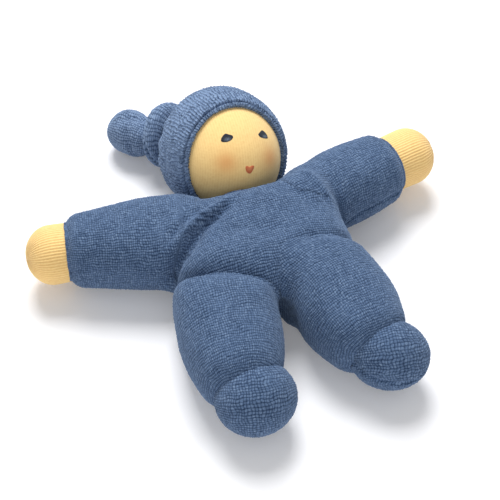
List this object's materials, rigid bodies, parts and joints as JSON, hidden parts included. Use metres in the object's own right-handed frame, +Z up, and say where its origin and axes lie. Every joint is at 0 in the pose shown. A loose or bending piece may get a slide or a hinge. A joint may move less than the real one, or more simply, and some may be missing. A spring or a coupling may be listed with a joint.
{
  "type": "soft baby doll",
  "caption": "Soft baby doll lying on its back, in a stuffed terry suit with a knotted terry cap; arms, legs, hands, feet, head and cap end all turn.",
  "frame": {"origin": "On the flat back of the body, where it rests on the floor, midway between the shoulders and the seat.", "axes": "+Y runs up the body to the head, +X to the doll's own left hand, +Z up out of the belly."},
  "size_m": [0.2696, 0.2816, 0.0754],
  "materials": {
    "suit_terry": "matte cotton terry, short dense loops in rows",
    "cap_terry": "matte cotton terry, the same cloth as the suit",
    "skin_jersey": "matte fine ribbed cotton jersey",
    "wool_filling": "loose sheep's wool",
    "tying_thread": "plain cotton thread",
    "eye_blue": "flat printed or stitched patch",
    "mouth_red": "flat printed or stitched patch"
  },
  "bodies": {
    "torso": {"body_suit": "suit_terry", "body_filling": "wool_filling", "collar_roll": "suit_terry"},
    "neck_post": {"neck": "skin_jersey", "neck_thread": "tying_thread"},
    "head": {"head_skin": "skin_jersey", "head_filling": "wool_filling", "left_eye": "eye_blue", "right_eye": "eye_blue", "mouth": "mouth_red", "cap_crown": "cap_terry", "cap_brim": "cap_terry"},
    "knot": {"cap_knot": "cap_terry"},
    "tip": {"cap_tip": "cap_terry"},
    "left_arm": {"left_sleeve": "suit_terry", "left_arm_filling": "wool_filling"},
    "left_hand": {"left_hand": "skin_jersey", "left_hand_filling": "wool_filling", "left_wrist_thread": "tying_thread"},
    "left_leg": {"left_leg": "suit_terry", "left_leg_filling": "wool_filling"},
    "left_foot": {"left_foot": "suit_terry", "left_foot_filling": "wool_filling"},
    "right_arm": {"right_sleeve": "suit_terry", "right_arm_filling": "wool_filling"},
    "right_hand": {"right_hand": "skin_jersey", "right_hand_filling": "wool_filling", "right_wrist_thread": "tying_thread"},
    "right_leg": {"right_leg": "suit_terry", "right_leg_filling": "wool_filling"},
    "right_foot": {"right_foot": "suit_terry", "right_foot_filling": "wool_filling"}
  },
  "joints": [
    {"name": "left_arm_lift", "type": "hinge", "parent": "torso", "child": "left_arm", "pos_m": [0.044, 0.0405, 0.04114], "axis": [0, -1, 0], "range_deg": [0, 80]},
    {"name": "left_wrist_flex", "type": "hinge", "parent": "left_arm", "child": "left_hand", "pos_m": [0.11116, 0.05234, 0.0267], "axis": [0, 0, 1], "range_deg": [-8, 8]},
    {"name": "left_leg_lift", "type": "hinge", "parent": "torso", "child": "left_leg", "pos_m": [0.03245, -0.027, 0.0405], "axis": [-1, 0, 0], "range_deg": [0, 85]},
    {"name": "left_ankle_flex", "type": "hinge", "parent": "left_leg", "child": "left_foot", "pos_m": [0.04195, -0.0905, 0.0255], "axis": [-1, 0, 0], "range_deg": [-20, 25]},
    {"name": "right_arm_lift", "type": "hinge", "parent": "torso", "child": "right_arm", "pos_m": [-0.044, 0.0405, 0.04114], "axis": [0, 1, 0], "range_deg": [0, 80]},
    {"name": "right_wrist_flex", "type": "hinge", "parent": "right_arm", "child": "right_hand", "pos_m": [-0.11447, 0.04915, 0.0267], "axis": [0, 0, 1], "range_deg": [-8, 8]},
    {"name": "right_leg_lift", "type": "hinge", "parent": "torso", "child": "right_leg", "pos_m": [-0.03605, -0.032, 0.0405], "axis": [-1, 0, 0], "range_deg": [0, 85]},
    {"name": "right_ankle_flex", "type": "hinge", "parent": "right_leg", "child": "right_foot", "pos_m": [-0.04205, -0.0968, 0.0255], "axis": [-1, 0, 0], "range_deg": [-20, 25]},
    {"name": "neck_turn", "type": "hinge", "parent": "torso", "child": "neck_post", "pos_m": [0, 0.052, 0.028], "axis": [0.2048, 0.9566, 0.2072], "range_deg": [-25, 25]},
    {"name": "head_nod", "type": "hinge", "parent": "neck_post", "child": "head", "pos_m": [0.0085, 0.0917, 0.0366], "axis": [1, 0, 0], "range_deg": [0, 15]},
    {"name": "knot_lift", "type": "hinge", "parent": "head", "child": "knot", "pos_m": [-0.01771, 0.12185, 0.02362], "axis": [0.7547, 0.6561, 0], "range_deg": [0, 10]},
    {"name": "tip_swing", "type": "hinge", "parent": "knot", "child": "tip", "pos_m": [-0.02831, 0.13405, 0.01837], "axis": [0, 0, 1], "range_deg": [-15, 15]}
  ]
}
